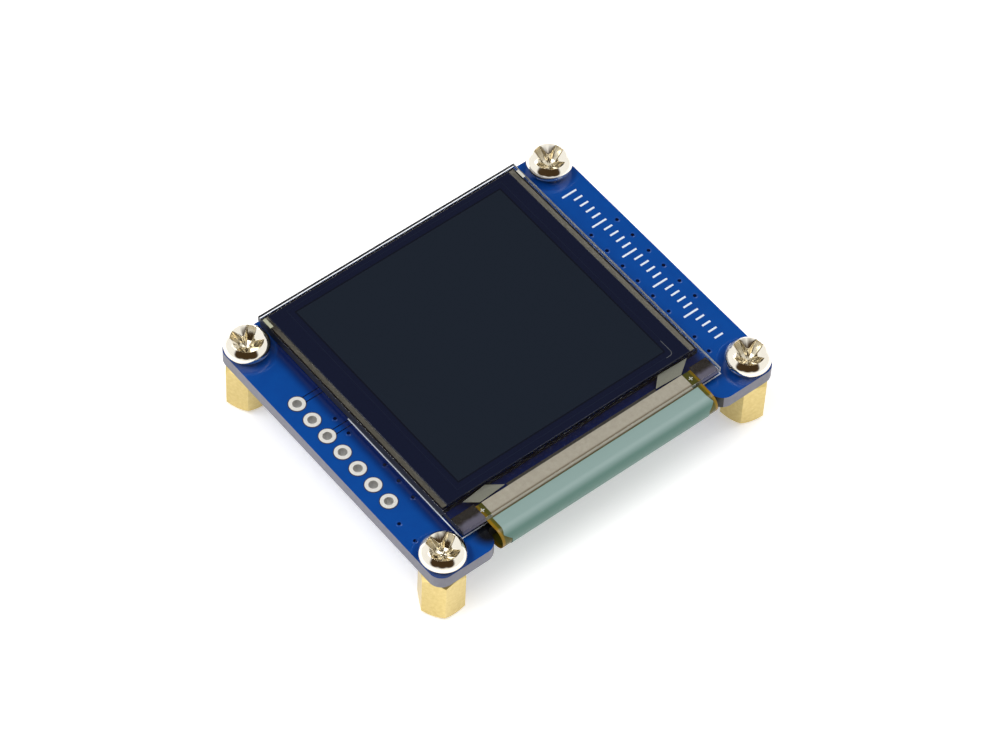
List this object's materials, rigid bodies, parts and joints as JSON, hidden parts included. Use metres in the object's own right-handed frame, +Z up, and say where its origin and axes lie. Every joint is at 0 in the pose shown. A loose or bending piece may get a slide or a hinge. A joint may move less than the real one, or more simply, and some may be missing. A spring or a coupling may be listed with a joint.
{
  "type": "small oled module",
  "caption": "Square display panel on a blue circuit board with a pin header row, a folded flex cable, and threaded hexagonal standoffs under its corners.",
  "frame": {"origin": "middle of the standoff pattern, on the floor under the standoffs", "axes": "+Z up out of the display's face; +X from the header row towards the opposite end; +Y from the flex bend towards the back edge"},
  "size_m": [0.0451, 0.0375, 0.0097],
  "materials": {
    "blue_board": "glossy solder mask over glass fibre laminate",
    "tinned_pad": "tinned copper",
    "brass": "turned brass",
    "nickel_screw": "bright nickel plating",
    "tape": "black foam tape",
    "clear_glass": "clear polished glass",
    "desiccant": "dull white sheet",
    "display_black": "smooth dark film",
    "seal_resin": "cured resin",
    "contact_foil": "fine foil stripes in resin",
    "amber_film": "clear amber film",
    "green_cover_film": "satin green cover film",
    "chip_black": "moulded black resin",
    "solder": "bright solder",
    "ferrite": "ferrite with grey resin",
    "ceramic_tan": "fired ceramic"
  },
  "bodies": {
    "root": {"circuit_board": "blue_board", "header_plating": "tinned_pad", "standoff_front_left": "brass", "standoff_front_right": "brass", "standoff_back_left": "brass", "standoff_back_right": "brass", "screw_front_left": "nickel_screw", "screw_front_right": "nickel_screw", "screw_back_left": "nickel_screw", "screw_back_right": "nickel_screw", "adhesive_tape": "tape", "cap_glass": "clear_glass", "desiccant_sheet": "desiccant", "light_emitting_layer": "display_black", "edge_seal": "seal_resin", "substrate_glass": "clear_glass", "polariser": "display_black", "contact_strip": "contact_foil", "flex_film": "amber_film", "flex_coverlay": "green_cover_film", "driver_chip": "chip_black", "flex_solder_joints": "solder", "boost_converter": "chip_black", "power_inductor": "ferrite", "schottky_diode": "chip_black", "voltage_regulator": "chip_black", "ceramic_capacitors": "ceramic_tan", "resistors": "chip_black"}
  },
  "joints": []
}
